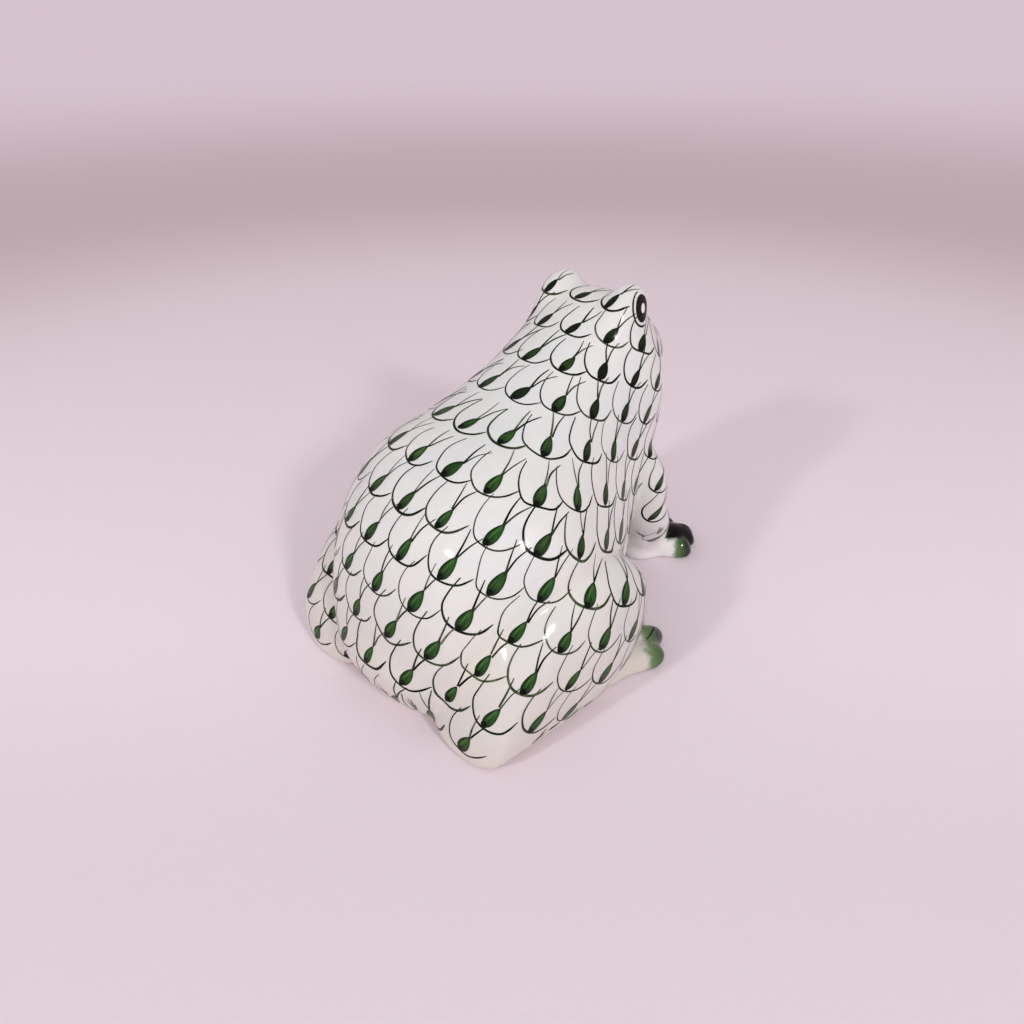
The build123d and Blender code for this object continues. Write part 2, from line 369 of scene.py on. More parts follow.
def place_lamps():
    """Two soft lamps on either side of the camera, and an even sky."""
    for number, (aside, elevation, power, size, distance) in enumerate(LAMPS):
        data = bpy.data.lights.new(f"lamp_{number}", "AREA")
        data.shape = "DISK"
        data.size = size
        data.energy = power
        lamp = new_object(f"lamp_{number}", data)
        lamp.visible_camera = False
        towards = bearing(CAMERA_AZIMUTH + aside, elevation)
        lamp.location = CAMERA_TARGET + towards * distance
        lamp.rotation_euler = towards.to_track_quat("Z", "Y").to_euler()
    world = bpy.data.worlds.new("world")
    world.use_nodes = True
    background = world.node_tree.nodes["Background"]
    background.inputs["Color"].default_value = SKY_COLOUR
    background.inputs["Strength"].default_value = SKY_STRENGTH
    bpy.context.scene.world = world


def rounded_profile(points):
    """A profile with its corners cut again and again."""
    for _ in range(CORNER_ROUNDS):
        finer = [points[0]]
        for (a, b), (c, d) in zip(points, points[1:]):
            finer += [(a * (1 - share) + c * share, b * (1 - share) + d * share) for share in CORNER_SHARES]
        points = finer + [points[-1]]
    return points


def paper_sweep():
    """Sheet of paper under and behind the object."""
    profile = rounded_profile(PAPER_PROFILE)
    points = [(0, 0, 0)]
    for radius, height in profile:
        for side in range(PAPER_SIDES):
            turn = math.tau * side / PAPER_SIDES
            points.append((radius * math.cos(turn), radius * math.sin(turn), height))
    faces = [(0, 1 + side, 1 + (side + 1) % PAPER_SIDES) for side in range(PAPER_SIDES)]
    for ring in range(len(profile) - 1):
        for side in range(PAPER_SIDES):
            a = 1 + ring * PAPER_SIDES + side
            b = 1 + ring * PAPER_SIDES + (side + 1) % PAPER_SIDES
            faces.append((a, a + PAPER_SIDES, b + PAPER_SIDES, b))
    mesh = bpy.data.meshes.new("paper")
    mesh.from_pydata(points, [], faces)
    mesh.shade_smooth()
    paper = new_object("paper", mesh)
    paper.data.materials.append(paper_material())


def curve_through(points):
    """Even points on a smooth curve through the given ones."""
    padded = [points[0]] + list(points) + [points[-1]]
    finer = []
    for before, first, second, after in zip(padded, padded[1:], padded[2:], padded[3:]):
        parts = max(2, round(math.dist(first, second) / SEGMENT))
        for part in range(parts):
            t = part / parts
            row = []
            for p, q, r, s in zip(before, first, second, after):
                bend = (2 * p - 5 * q + 4 * r - s) * t**2 + (3 * q - p - 3 * r + s) * t**3
                row.append(q + ((r - p) * t + bend) / 2)
            finer.append(tuple(row))
    return finer + [tuple(points[-1])]


class Nodes:
    """A material's shader nodes, added one call at a time."""

    def __init__(self, name):
        self.material = bpy.data.materials.new(name)
        self.material.use_nodes = True
        self.tree = self.material.node_tree
        self.shader = self.tree.nodes["Principled BSDF"]

    def put(self, socket, value):
        """A number, colour or link into a socket."""
        if isinstance(value, bpy.types.NodeSocket):
            self.tree.links.new(value, socket)
        else:
            socket.default_value = value

    def set(self, **values):
        """Inputs of the shader, by name."""
        for name, value in values.items():
            self.put(self.shader.inputs[name.replace("_", " ")], value)

    def whole_brush(self):
        """The painted piece's own coordinates: share along the stroke, side, and a tone of its own."""
        attribute = self.tree.nodes.new("ShaderNodeAttribute")
        attribute.attribute_name = "brush"
        return attribute.outputs["Vector"]

    def brush(self):
        """The same coordinates one by one."""
        parts = self.tree.nodes.new("ShaderNodeSeparateXYZ")
        self.put(parts.inputs[0], self.whole_brush())
        return parts.outputs

    def own(self, name):
        """A number kept at the piece's points."""
        attribute = self.tree.nodes.new("ShaderNodeAttribute")
        attribute.attribute_name = name
        return attribute.outputs["Fac"]

    def place(self):
        """Place on the object in metres."""
        return self.tree.nodes.new("ShaderNodeTexCoord").outputs["Object"]

    def place_parts(self):
        """The place's X, Y and Z one by one."""
        parts = self.tree.nodes.new("ShaderNodeSeparateXYZ")
        self.put(parts.inputs[0], self.place())
        return parts.outputs

    def noise(self, size, detail=2.0, where=None):
        """Cloudy noise with blots of about a size in metres."""
        noise = self.tree.nodes.new("ShaderNodeTexNoise")
        self.put(noise.inputs["Vector"], self.place() if where is None else where)
        self.put(noise.inputs["Scale"], 1 / size)
        self.put(noise.inputs["Detail"], detail)
        return noise.outputs["Fac"]

    def cells(self, size):
        """Distance to scattered points, in shares of their spacing."""
        cells = self.tree.nodes.new("ShaderNodeTexVoronoi")
        self.put(cells.inputs["Vector"], self.place())
        self.put(cells.inputs["Scale"], 1 / size)
        return cells.outputs["Distance"]

    def sum(self, operation, first, second):
        """Arithmetic on two numbers."""
        node = self.tree.nodes.new("ShaderNodeMath")
        node.operation = operation
        self.put(node.inputs[0], first)
        self.put(node.inputs[1], second)
        return node.outputs[0]

    def vector_sum(self, operation, *vectors):
        """Arithmetic on vectors. Each operation fills one of its two outputs, Vector or Value."""
        node = self.tree.nodes.new("ShaderNodeVectorMath")
        node.operation = operation
        for socket, vector in zip(node.inputs, vectors):
            self.put(socket, vector)
        return node.outputs

    def uneven(self, noise, strength):
        """Noise as a change around nought."""
        return self.sum("MULTIPLY", self.sum("SUBTRACT", noise, 0.5), strength)

    def fade(self, value, low, high):
        """0 below low, 1 above high, smooth between. Low may be the larger one."""
        node = self.tree.nodes.new("ShaderNodeMapRange")
        node.interpolation_type = "SMOOTHSTEP"
        self.put(node.inputs["Value"], value)
        self.put(node.inputs["From Min"], min(low, high))
        self.put(node.inputs["From Max"], max(low, high))
        self.put(node.inputs["To Min"], 0.0 if low < high else 1.0)
        self.put(node.inputs["To Max"], 1.0 if low < high else 0.0)
        return node.outputs["Result"]

    def mix(self, share, first, second):
        """Blend of two colours."""
        node = self.tree.nodes.new("ShaderNodeMix")
        node.data_type = "RGBA"
        self.put(node.inputs[0], share)
        self.put(node.inputs[6], first)
        self.put(node.inputs[7], second)
        return node.outputs[2]

    def bump(self, height, distance):
        """Fine relief of a height map, its depth in metres."""
        node = self.tree.nodes.new("ShaderNodeBump")
        self.put(node.inputs["Height"], height)
        self.put(node.inputs["Distance"], distance)
        self.put(self.shader.inputs["Normal"], node.outputs[0])


def tint(colour):
    """A colour as it looks on a screen, for a socket."""
    shares = [channel / 255 for channel in colour]
    return (*(s / 12.92 if s < 0.04045 else ((s + 0.055) / 1.055) ** 2.4 for s in shares), 1)


def glaze(nodes):
    """Gloss of the clear glaze, which lies over the porcelain and the paint alike."""
    nodes.set(IOR=GLAZE_INDEX, Specular_IOR_Level=PAINT_GLOSS)
    nodes.set(Roughness=nodes.fade(nodes.noise(DULL_PATCH), *ROUGHNESS_FADE))
    nodes.bump(nodes.noise(RIPPLE, RIPPLE_DETAIL), RIPPLE_DEPTH)


def porcelain_white(nodes):
    """The white body, with clouds, cream glaze tone and painted shade low down behind, painted light on the
    legs low down in front, pooled glaze and specks.
    """
    cloudy = nodes.fade(nodes.noise(CLOUD, CLOUD_DETAIL), *CLOUD_FADE)
    white = nodes.mix(cloudy, tint(WHITE), tint(COOL_WHITE))
    _, rearward, height = nodes.place_parts()
    behind = nodes.fade(rearward, *CREAM_AND_SHADE_FROM)
    # Cream glaze tone and painted shade, low down behind
    low = nodes.sum("MULTIPLY", nodes.fade(height, *CREAM_AND_SHADE_LEVELS), behind)
    white = nodes.mix(nodes.sum("MULTIPLY", low, CREAM_AND_SHADE_STRENGTH), white, tint(CREAM_AND_SHADE))
    # Painted light: the legs low down in front made whiter
    before = nodes.fade(rearward, *PAINTED_LIGHT_FROM)
    painted_light = nodes.sum("MULTIPLY", nodes.fade(height, *PAINTED_LIGHT_LEVELS), before)
    white = nodes.mix(painted_light, white, tint(PAINTED_LIGHT_WHITE))
    foot = nodes.sum("MULTIPLY", nodes.fade(height, *FOOT_POOL_LEVELS), behind)
    thick = nodes.sum("MAXIMUM", nodes.own("pool"), foot)
    white = nodes.mix(nodes.sum("MULTIPLY", thick, POOL_STRENGTH), white, tint(POOLED_GLAZE))
    speckled = nodes.fade(nodes.noise(SPECK_PATCH), *SPECK_PATCH_FADE)
    size = nodes.sum("MULTIPLY", speckled, SPECK_SIZE_SHARE)
    outside = nodes.sum("SUBTRACT", nodes.cells(SPECK_SPACING), size)
    specks = nodes.fade(outside, *SPECK_EDGE_SHARES)
    return nodes.mix(nodes.sum("MULTIPLY", specks, SPECK_STRENGTH), white, tint(SPECK))


def porcelain_material():
    """White body under clear glaze, with a green wash and black on the toes."""
    nodes = Nodes("porcelain_glaze")
    glaze(nodes)
    white = porcelain_white(nodes)
    black = nodes.own("black")
    streaks = nodes.noise(WASH_STREAK, WASH_DETAIL)
    wash = nodes.sum("ADD", nodes.own("wash"), nodes.uneven(streaks, WASH_UNEVENNESS))
    green = nodes.mix(nodes.fade(streaks, *STREAK_FADE), tint(WASH_GREEN), tint(PALE_WASH_GREEN))
    green = nodes.mix(nodes.fade(wash, *DEEP_WASH_FADE), green, tint(DEEP_WASH_GREEN))
    green = nodes.mix(black, green, tint(TOE_BLACK))
    painted = nodes.sum("MAXIMUM", nodes.fade(wash, *WASH_FADE), black)
    nodes.set(Base_Color=nodes.mix(painted, white, green))
    lost = nodes.sum("MULTIPLY", black, PORCELAIN_GLOSS - PAINT_GLOSS)
    nodes.set(Specular_IOR_Level=nodes.sum("SUBTRACT", PORCELAIN_GLOSS, lost))
    return nodes.material


def ink_material():
    """Thin lines, grey-green where the brush is dry and nearly black where it is full."""
    nodes = Nodes("line_ink")
    glaze(nodes)
    _, _, load = nodes.brush()
    load = nodes.sum("ADD", load, nodes.uneven(nodes.noise(INK_BLOT), INK_UNEVENNESS))
    colour = nodes.mix(nodes.fade(load, *INK_GREEN_FADE), tint(DRY_INK), tint(GREEN_INK))
    nodes.set(Base_Color=nodes.mix(nodes.fade(load, *INK_BLACK_FADE), colour, tint(BLACK_INK)))
    return nodes.material


def leaf_material():
    """Green drops with brush streaks, darker at the edge, the foot and the tip, nearly black on the head."""
    nodes = Nodes("leaf_green")
    glaze(nodes)
    share, side, greenness = nodes.brush()
    foot = nodes.fade(share, *LEAF_FOOT_FADE)
    tip = nodes.fade(share, *LEAF_TIP_FADE)
    left_rim = nodes.fade(side, *LEAF_LEFT_FADE)
    right_rim = nodes.sum("MULTIPLY", nodes.fade(side, *LEAF_RIGHT_FADE), LEAF_RIGHT_STRENGTH)
    rims = nodes.sum("MAXIMUM", left_rim, right_rim)
    dark = nodes.sum("MAXIMUM", nodes.sum("MAXIMUM", foot, tip), rims)
    along = nodes.vector_sum("MULTIPLY", nodes.whole_brush(), LEAF_STREAKS)["Vector"]
    streaks = nodes.noise(1.0, where=along)
    green = nodes.mix(nodes.fade(streaks, *STREAK_FADE), tint(LEAF_GREEN), tint(PALE_LEAF_GREEN))
    green = nodes.mix(nodes.sum("MULTIPLY", dark, LEAF_DARK_STRENGTH), green, tint(DARK_LEAF_GREEN))
    nodes.set(Base_Color=nodes.mix(greenness, tint(LEAF_BLACK), green))
    return nodes.material


def plain_paint(name, colours):
    """One thick paint, slightly uneven between two colours."""
    nodes = Nodes(name)
    glaze(nodes)
    nodes.set(Base_Color=nodes.mix(nodes.noise(THICK_PAINT_BLOT), *map(tint, colours)))
    return nodes.material


def paper_material():
    """Pinkish grey paper with a faint tooth, painted lighter behind the object than in front. Far from the
    object the camera sees a painted glow, with painted shade in the fold.
    """
    nodes = Nodes("paper")
    fibres = nodes.noise(FIBRE, FIBRE_DETAIL)
    distance = nodes.vector_sum("LENGTH", nodes.place())["Value"]
    nearer = nodes.vector_sum("DOT_PRODUCT", nodes.place(), bearing(CAMERA_AZIMUTH, 0))["Value"]
    # Painted light on the floor: lighter behind the object, darker in front
    painted_floor_light = nodes.mix(nodes.fade(nearer, *PAINTED_FLOOR_LIGHT_FADE), tint(PAPER_PAINTED_LIGHT_BEHIND), tint(PAPER_PAINTED_SHADE_IN_FRONT))
    tooth = nodes.sum("MULTIPLY", fibres, FIBRE_STRENGTH)
    nodes.set(Base_Color=nodes.mix(tooth, painted_floor_light, tint(PAPER_FIBRE)), Roughness=PAPER_ROUGHNESS)
    nodes.set(Specular_IOR_Level=PAPER_GLOSS)
    nodes.bump(fibres, FIBRE_DEPTH)
    # Painted glow far off, with painted shade in the fold and lighter up the wall
    painted_fold_shade = nodes.mix(nodes.fade(distance, *PAINTED_FOLD_SHADE_FADE), tint(PAPER_GLOW_FAR), tint(PAPER_GLOW_FOLD_SHADE))
    _, _, height = nodes.place_parts()
    painted_glow = nodes.tree.nodes.new("ShaderNodeEmission")
    nodes.put(painted_glow.inputs["Color"], nodes.mix(nodes.fade(height, *PAINTED_GLOW_WALL_FADE), painted_fold_shade, tint(PAPER_GLOW_WALL)))
    rays = nodes.tree.nodes.new("ShaderNodeLightPath")
    seen = nodes.sum("MAXIMUM", rays.outputs["Is Camera Ray"], rays.outputs["Is Glossy Ray"])
    both = nodes.tree.nodes.new("ShaderNodeMixShader")
    nodes.put(both.inputs[0], nodes.sum("MULTIPLY", nodes.fade(distance, *PAINTED_GLOW_FADE), seen))
    nodes.put(both.inputs[1], nodes.shader.outputs[0])
    nodes.put(both.inputs[2], painted_glow.outputs[0])
    output = nodes.tree.nodes["Material Output"]
    nodes.put(output.inputs["Surface"], both.outputs[0])
    return nodes.material


def glazed_skin():
    """All mouldings as one closed skin, with soft slip fillets where they meet."""
    parts = bmesh.new()
    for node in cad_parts.values():
        parts.from_mesh(node.data)
    plug = bmesh.ops.create_cone(
        parts, cap_ends=True, segments=VENT_PLUG_SIDES, radius1=VENT_PLUG_RADIUS, radius2=VENT_PLUG_RADIUS,
        depth=VENT_PLUG_TOP - VENT_PLUG_BOTTOM,
    )
    middle = VENT_PLACE + Vector((0, 0, (VENT_PLUG_TOP + VENT_PLUG_BOTTOM) / 2))
    bmesh.ops.translate(parts, verts=plug["verts"], vec=middle)
    rough = bpy.data.meshes.new("rough")
    parts.to_mesh(rough)
    parts.free()
    source = new_object("rough", rough)
    remesh = source.modifiers.new("remesh", "REMESH")
    remesh.mode = "VOXEL"
    remesh.voxel_size = SKIN_VOXEL
    mesh = bpy.data.meshes.new_from_object(source.evaluated_get(bpy.context.evaluated_depsgraph_get()))
    bpy.data.objects.remove(source)
    bpy.data.meshes.remove(rough)
    soften(mesh)
    mesh.shade_smooth()
    return mesh


def read(items, name, width):
    """One property of a mesh's items as rows of numbers."""
    flat = np.empty(len(items) * width, dtype=np.float32)
    if name == "vertices":
        flat = flat.astype(np.int32)
    items.foreach_get(name, flat)
    return flat.reshape(-1, width)


def net(mesh):
    """The mesh's points, its pairs of neighbours, and how many neighbours each point has."""
    pairs = read(mesh.edges, "vertices", 2)
    count = np.bincount(pairs.ravel(), minlength=len(mesh.vertices)).astype(float)
    return read(mesh.vertices, "co", 3).astype(float), pairs, count


def neighbour_average(values, pairs, count):
    """Average of each point's neighbours."""
    total = np.zeros_like(values)
    for one, other in ((0, 1), (1, 0)):
        for column in range(values.shape[1]):
            total[:, column] += np.bincount(pairs[:, one], values[pairs[:, other], column], len(values))
    return total / count[:, None]


def soften(mesh):
    """Round the skin's creases as thick glaze does, and most of all where the eyes rise from the head."""
    points, pairs, count = net(mesh)
    low, high = HEAD_SMOOTHING_LEVELS
    head = np.clip((points[:, 2:] - low) / (high - low), 0, 1)
    for number in range(HEAD_SMOOTHING_ROUNDS):
        share = SMOOTHING_SHARE if number < SMOOTHING_ROUNDS else SMOOTHING_SHARE * head
        points += (neighbour_average(points, pairs, count) - points) * share
    mesh.vertices.foreach_set("co", points.astype(np.float32).ravel())
    mesh.update()


def hollowness(mesh):
    """How concave the skin is at each point, from 0 to 1."""
    points, pairs, count = net(mesh)
    rise = neighbour_average(points, pairs, count) - points
    hollow = (rise * read(mesh.vertices, "normal", 3)).sum(axis=1)[:, None]
    for _ in range(POOL_ROUNDS):
        hollow = neighbour_average(hollow, pairs, count)
    return np.clip(hollow[:, 0] / POOL_DEPTH, 0, 1)


class Surface:
    """The skin as a surface to paint on, and which moulding each place belongs to."""

    def __init__(self, mesh):
        mesh.calc_loop_triangles()
        self.points = read(mesh.vertices, "co", 3)
        self.normals = read(mesh.vertices, "normal", 3)
        self.triangles = read(mesh.loop_triangles, "vertices", 3).astype(int)
        self.tree = BVHTree.FromPolygons(self.points.tolist(), self.triangles.tolist())
        corners = []
        faces = []
        self.owners = []
        for name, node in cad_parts.items():
            base = len(corners)
            corners += [tuple(vertex.co) for vertex in node.data.vertices]
            faces += [[base + index for index in polygon.vertices] for polygon in node.data.polygons]
            self.owners += [name] * len(node.data.polygons)
        self.mouldings = BVHTree.FromPolygons(corners, faces)

    def owner(self, place):
        """Name of the moulding that a place belongs to."""
        return self.owners[self.mouldings.find_nearest(place)[2]]

    def nearest(self, point):
        """(place on the skin, smooth normal, distance) nearest to a point."""
        place, _, index, distance = self.tree.find_nearest(point)
        a, b, c = (Vector(self.points[i]) for i in self.triangles[index])
        na, nb, nc = (Vector(self.normals[i]) for i in self.triangles[index])
        whole = (b - a).cross(c - a)
        size = max(whole.length_squared, sys.float_info.min)
        share_a = (b - place).cross(c - place).dot(whole) / size
        share_b = (c - place).cross(a - place).dot(whole) / size
        normal = (na * share_a + nb * share_b + nc * (1 - share_a - share_b)).normalized()
        return place, normal, distance

    def walk(self, spot, point):
        """Place and normal of a drawing's point, reached over the skin, or None beyond a sharp crease."""
        place, normal, across, up = spot
        length = math.hypot(*point)
        strides = math.ceil(length / STRIDE)
        heading = (across * point[0] + up * point[1]).normalized()
        for _ in range(strides):
            place, normal, miss = self.nearest(place + heading * (length / strides))
            if miss > STRIDE_MISS:
                return None
            heading = (heading - normal * heading.dot(normal)).normalized()
        return place, normal

    def spot(self, point, turn=0.0, rise=RISE):
        """A place to paint at: itself, its normal, and its right and up, turned clockwise by some degrees."""
        place, normal, _ = self.nearest(point)
        up = (rise - normal * rise.dot(normal)).normalized()
        across = up.cross(normal)
        lean = math.radians(turn)
        turned_across = across * math.cos(lean) - up * math.sin(lean)
        turned_up = up * math.cos(lean) + across * math.sin(lean)
        return place, normal, turned_across, turned_up

    def loops_at(self, level):
        """Closed lines on the skin at one level of the rows."""
        field = self.points @ np.array(RISE) - level
        beyond = field[self.triangles] > 0
        count = beyond.sum(axis=1)
        places = {}
        links = {}
        for index in np.nonzero((count == 1) | (count == 2))[0]:
            corners = self.triangles[index]
            lone = int(np.nonzero(beyond[index] == (count[index] == 1))[0][0])
            keys = []
            for other in (lone + 1, lone + 2):
                i, j = sorted((int(corners[lone]), int(corners[other % 3])))
                if (i, j) not in places:
                    share = field[i] / (field[i] - field[j])
                    places[i, j] = self.points[i] + (self.points[j] - self.points[i]) * share
                keys.append((i, j))
            links.setdefault(keys[0], []).append(keys[1])
            links.setdefault(keys[1], []).append(keys[0])
        loops = []
        left = set(links)
        for start in sorted(links):
            line = []
            here = start if start in left else None
            while here is not None:
                left.discard(here)
                line.append(places[here])
                here = next((key for key in links[here] if key in left), None)
            if line:
                loops.append(np.array(line))
        return loops


def visible_piece(mesh, material):
    """A finished mesh as a piece that rides on the frog."""
    piece = new_object(mesh.name, mesh)
    piece.data.materials.append(material)
    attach(piece, "root")
    return piece


class Paint:
    """A thin layer of paint: points, normals and brush coordinates, gathered into one mesh."""

    def __init__(self, name, lift):
        self.name = name
        self.lift = lift
        self.points = []
        self.normals = []
        self.brush = []
        self.faces = []

    def add(self, spot, point, brush):
        """A point of paint on the skin, or None where the brush can't reach."""
        reached = skin.walk(spot, point)
        if reached is None:
            return None
        place, normal = reached
        self.points.append(place + normal * self.lift)
        self.normals.append(normal)
        self.brush.append(brush)
        return len(self.points) - 1

    def band(self, rows):
        """Faces between rows of points, left out where one is missing. A row may repeat a single point."""
        for before, after in zip(rows, rows[1:]):
            for around in zip(before, before[1:], after[1:], after):
                corners = tuple(dict.fromkeys(around))
                if None not in corners:
                    self.faces.append(corners)

    def stroke(self, spot, line, half_width, tone):
        """A ribbon along a line of (right, up) points, its half width given for each share of it."""
        rows = []
        for index, point in enumerate(line):
            before = line[max(index - 1, 0)]
            after = line[min(index + 1, len(line) - 1)]
            along = Vector((after[0] - before[0], after[1] - before[1])).normalized()
            share = index / (len(line) - 1)
            half = half_width(share)
            row = []
            for side in (-1, 1):
                edge = (point[0] + along.y * half * side, point[1] - along.x * half * side)
                row.append(self.add(spot, edge, (share, side, tone)))
            rows.append(row)
        self.band(rows)

    def leaf(self, spot, foot, tip, half_width, tone):
        """A filled shape from foot to tip, its half width given for each share of the way."""
        length = math.dist(foot, tip)
        along = ((tip[0] - foot[0]) / length, (tip[1] - foot[1]) / length)
        rows = []
        for step in range(DROP_ROWS + 1):
            share = (1 - math.cos(math.pi * step / DROP_ROWS)) / 2
            middle = (foot[0] + along[0] * share * length, foot[1] + along[1] * share * length)
            if step in (0, DROP_ROWS):
                rows.append([self.add(spot, middle, (share, 0, tone))] * (DROP_COLUMNS + 1))
                continue
            half = half_width(share)
            row = []
            for column in range(DROP_COLUMNS + 1):
                side = 2 * column / DROP_COLUMNS - 1
                edge = (middle[0] + along[1] * half * side, middle[1] - along[0] * half * side)
                row.append(self.add(spot, edge, (share, side, tone)))
            rows.append(row)
        self.band(rows)

    def finished(self, material):
        """The painted layer as a visible piece."""
        mesh = bpy.data.meshes.new(self.name)
        mesh.from_pydata(self.points, [], self.faces)
        brush = mesh.attributes.new("brush", "FLOAT_VECTOR", "POINT")
        brush.data.foreach_set("vector", np.array(self.brush).ravel())
        mesh.shade_smooth()
        mesh.normals_split_custom_set_from_vertices([tuple(normal) for normal in self.normals])
        visible_piece(mesh, material)


def toe_wash(name, points):
    """How much paint the toes get, up to 1 at their tips, and how far the forefeet turn black."""
    turn = math.radians(TOE_TURN_DEGREES)
    forward = np.abs(points[:, 0]) * math.sin(turn) - points[:, 1] * math.cos(turn)
    kind = name.rsplit("_", 1)[0]
    start, full = WASH_REACH[kind]
    wash = np.clip((forward - forward.max() + start) / (start - full), 0, 1)
    if kind != "forefoot":
        return wash, np.zeros(len(points))
    mirrored = np.column_stack([np.abs(points[:, 0]), points[:, 1:]])
    inner = (mirrored - np.array(BLACK_GAP_PLACE)) @ np.array(BLACK_GAP_NORMAL) / BLACK_BLUR
    ahead = (forward - forward.max() + BLACK_REACH) / BLACK_BLUR
    return wash, np.clip(inner, 0, 1) * np.clip(ahead, 0, 1)


def share_out(mesh):
    """Name of the moulding of each face, with stray patches taken over by their neighbours."""
    names = list(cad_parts)
    centres = read(mesh.polygons, "center", 3)
    labels = np.array([names.index(skin.owner(Vector(centre))) for centre in centres.tolist()])
    sides = {}
    for number, polygon in enumerate(mesh.polygons):
        for key in polygon.edge_keys:
            sides.setdefault(key, []).append(number)
    pairs = np.array([pair for pair in sides.values() if len(pair) == 2])
    count = np.ones(len(labels))
    for _ in range(BORDER_ROUNDS):
        votes = np.eye(len(names))[labels]
        votes = votes + neighbour_average(votes, pairs, count)
        labels = votes.argmax(axis=1)
    return names, labels


def skin_pieces(mesh, material):
    """The skin as one visible piece for each moulding."""
    names, labels = share_out(mesh)
    pool = hollowness(mesh)
    points = read(mesh.vertices, "co", 3)
    faces = [tuple(polygon.vertices) for polygon in mesh.polygons]
    for number, name in enumerate(names):
        mine = [faces[index] for index in np.nonzero(labels == number)[0]]
        used = sorted({corner for face in mine for corner in face})
        place = {corner: index for index, corner in enumerate(used)}
        part = bpy.data.meshes.new(name + "_glazed")
        corners = [tuple(place[corner] for corner in face) for face in mine]
        part.from_pydata(points[used].tolist(), [], corners)
        wash, black = toe_wash(name, points[used]) if "foot" in name else np.zeros((2, len(used)))
        for label, values in (("pool", pool[used]), ("wash", wash), ("black", black)):
            attribute = part.attributes.new(label, "FLOAT", "POINT")
            attribute.data.foreach_set("value", values.astype(np.float32))
        part.shade_smooth()
        part.normals_split_custom_set_from_vertices([tuple(normal) for normal in skin.normals[used].tolist()])
        piece = visible_piece(part, material)
        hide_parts(name)


def even_places(loop, step, offset):
    """Places at even steps along a closed line, counted from the middle of the back."""
    start = int(np.argmin(np.abs(loop[:, 0]) - REARWARD_WEIGHT * loop[:, 1]))
    ring = np.concatenate([loop[start:], loop[: start + 1]])
    lengths = np.concatenate([[0], np.cumsum(np.linalg.norm(np.diff(ring, axis=0), axis=1))])
    count = round(lengths[-1] / step)
    for number in range(count):
        along = (number + offset) * lengths[-1] / count
        yield Vector([np.interp(along, lengths, ring[:, axis]) for axis in range(3)])


def left_white(place, normal):
    """Where the porcelain stays unpainted, or the snout has scales of its own."""
    low = place.z < GROUND_MARGIN
    owner = skin.owner(place)
    under = normal.z < UNDERSIDE_NORMAL and "foreleg" not in owner
    chest = owner == "body_shell" and abs(place.x) < THROAT_HALF_WIDTH and place.z < THROAT_TOP
    throat = chest and normal.y < THROAT_NORMAL
    eye = any((place - on_side(EYE_PLACE, side)).length < EYE_MARGIN for side in SIDES)
    dome = place.z > EYE_TOP_BARE
    nose = (place - NOSE).length < NOSE_MARGIN
    snout = abs(place.x) < SNOUT_HALF_WIDTH and place.z > SNOUT_BOTTOM and place.y < SNOUT_BACK
    return low or under or throat or eye or dome or nose or snout or "foot" in owner


def scale_spots():
    """(spot, step, share of the way down) of every scale, row by row."""
    level = FIRST_LEVEL
    offset = 0.0
    taken = list(SNOUT_SCALES)
    while level > LAST_LEVEL:
        grown = min((FIRST_LEVEL - level) / STEP_GROWTH, 1)
        descent = (FIRST_LEVEL - level) / (FIRST_LEVEL - LAST_LEVEL)
        step = SCALE_STEPS[0] + (SCALE_STEPS[1] - SCALE_STEPS[0]) * grown
        for loop in skin.loops_at(level):
            for place in even_places(loop, step, offset):
                spot = skin.spot(place, dice.uniform(*SCALE_TURNS))
                crowded = any((place - other).length < step * CLOSEST_SHARE for other in taken)
                if crowded or left_white(spot[0], spot[1]):
                    continue
                taken.append(place)
                yield spot, step * dice.uniform(*SCALE_SIZES), descent
        level -= ROW_STEPS[0] + (ROW_STEPS[1] - ROW_STEPS[0]) * grown
        offset = 0.5 - offset


def by_hand(shares, step):
    """Points of a drawing in metres, each moved a little as a hand would."""
    misses = [(dice.gauss(0, HAND_MISS_SHARE), dice.gauss(0, HAND_MISS_SHARE)) for _ in shares]
    return [(step * (x + right), step * (y + up)) for (x, y), (right, up) in zip(shares, misses)]


def drop_outline(widest):
    """Half width of a drop with a round foot and a sharp tip."""
    return lambda share: widest * DROP_ROUNDNESS * math.sqrt(share) * (1 - share) ** DROP_SHARPNESS


def oval_outline(widest):
    """Half width of an oval."""
    return lambda share: widest * 2 * math.sqrt(share * (1 - share))


def swelling(widest, thin, full_from):
    """Half width of a stroke that starts thin, swells and ends blunt."""
    def half_width(share):
        swollen = thin + (1 - thin) * min(share / full_from, 1)
        return widest * swollen * min(1, BLUNT_END_SLOPE * (1 - share) + BLUNT_END_SHARE)
    return half_width


def fading(widest):
    """Half width of a hair line that thins out."""
    return lambda share: widest * (1 - HAIR_THINNING_SHARE * share**2)


